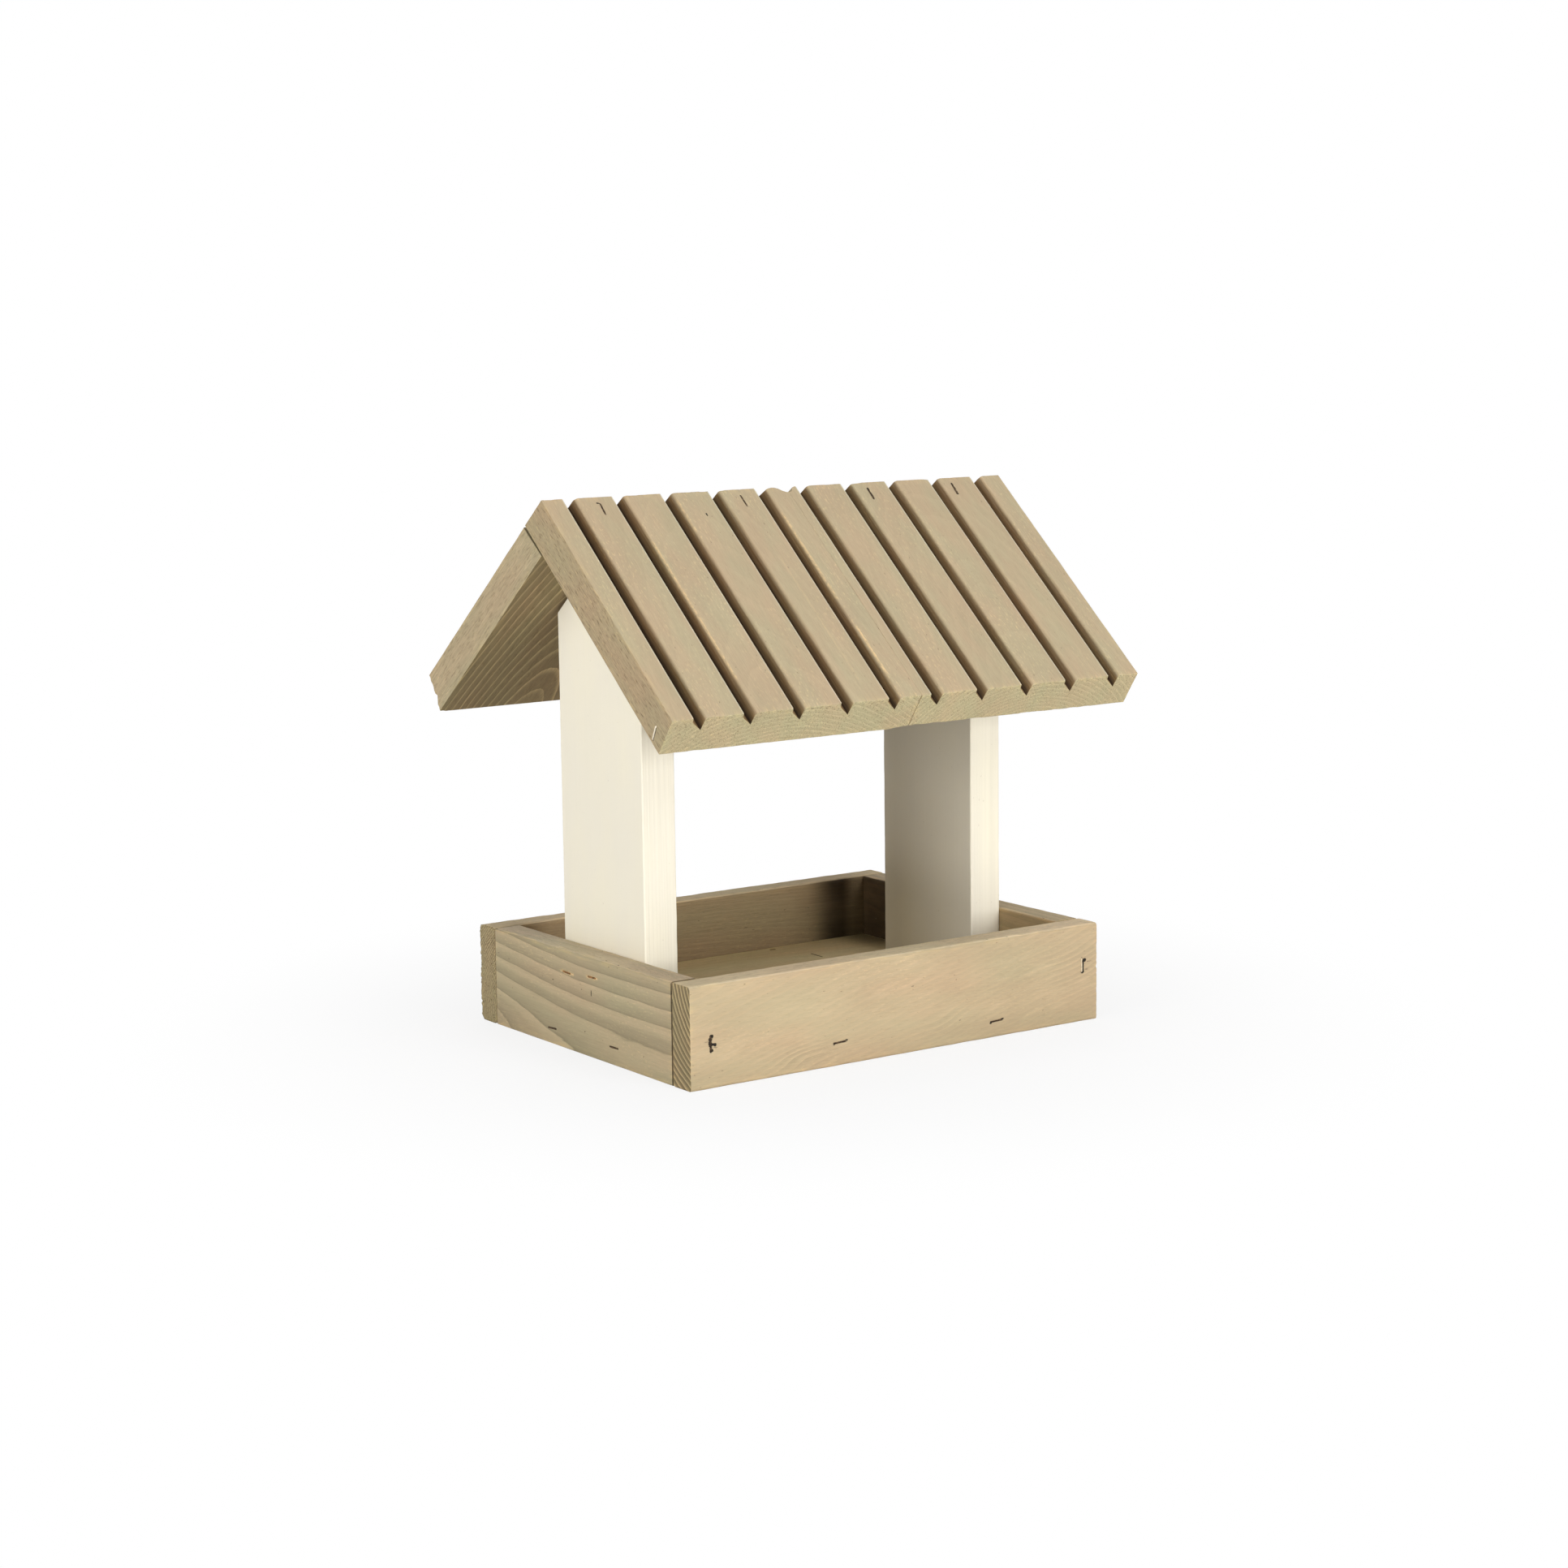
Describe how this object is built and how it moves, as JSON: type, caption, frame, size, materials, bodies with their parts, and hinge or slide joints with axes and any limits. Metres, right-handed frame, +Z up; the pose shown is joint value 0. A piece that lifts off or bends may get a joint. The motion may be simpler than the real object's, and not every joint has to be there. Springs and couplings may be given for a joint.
{
  "type": "bird table",
  "caption": "Small free-standing wooden bird table: a shallow stapled tray with two upright boards inside its ends and a gabled roof of grooved boards.",
  "frame": {"origin": "on the ground, under the middle of the roof's and the tray's common box", "axes": "+X along the ridge to the right as seen from in front, +Y from the front to the back, +Z up"},
  "size_m": [0.281, 0.228, 0.2743],
  "materials": {
    "stained_pine": "planed softwood under a thin grey-beige stain, matt",
    "painted_pine": "planed softwood, cream paint, matt",
    "dark_steel": "wire staples, stained dark",
    "bright_steel": "wire staple, bright"
  },
  "bodies": {
    "root": {"tray_front_wall": "stained_pine", "tray_back_wall": "stained_pine", "tray_left_wall": "stained_pine", "tray_right_wall": "stained_pine", "floor_board_front": "stained_pine", "floor_board_back": "stained_pine", "left_post": "painted_pine", "right_post": "painted_pine", "roof_front_left_board": "stained_pine", "roof_front_right_board": "stained_pine", "roof_rear_left_board": "stained_pine", "roof_rear_right_board": "stained_pine", "corner_staple_front_left": "dark_steel", "corner_staple_front_right": "dark_steel", "corner_staple_back_left": "dark_steel", "corner_staple_back_right": "dark_steel", "floor_staple_front_left": "dark_steel", "floor_staple_front_right": "dark_steel", "floor_staple_back_left": "dark_steel", "floor_staple_back_right": "dark_steel", "end_floor_staple_left_front": "dark_steel", "end_floor_staple_left_back": "dark_steel", "end_floor_staple_right_front": "dark_steel", "end_floor_staple_right_back": "dark_steel", "post_staple_left_front": "dark_steel", "post_staple_left_back": "dark_steel", "post_staple_right_front": "dark_steel", "post_staple_right_back": "dark_steel", "ridge_staple_left_1": "dark_steel", "ridge_staple_left_2": "dark_steel", "ridge_staple_right_1": "dark_steel", "ridge_staple_right_2": "dark_steel", "roof_staple_left_upper": "dark_steel", "roof_staple_left_lower": "dark_steel", "roof_staple_right_upper": "dark_steel", "roof_staple_right_lower": "dark_steel", "gable_staple": "bright_steel"}
  },
  "joints": []
}
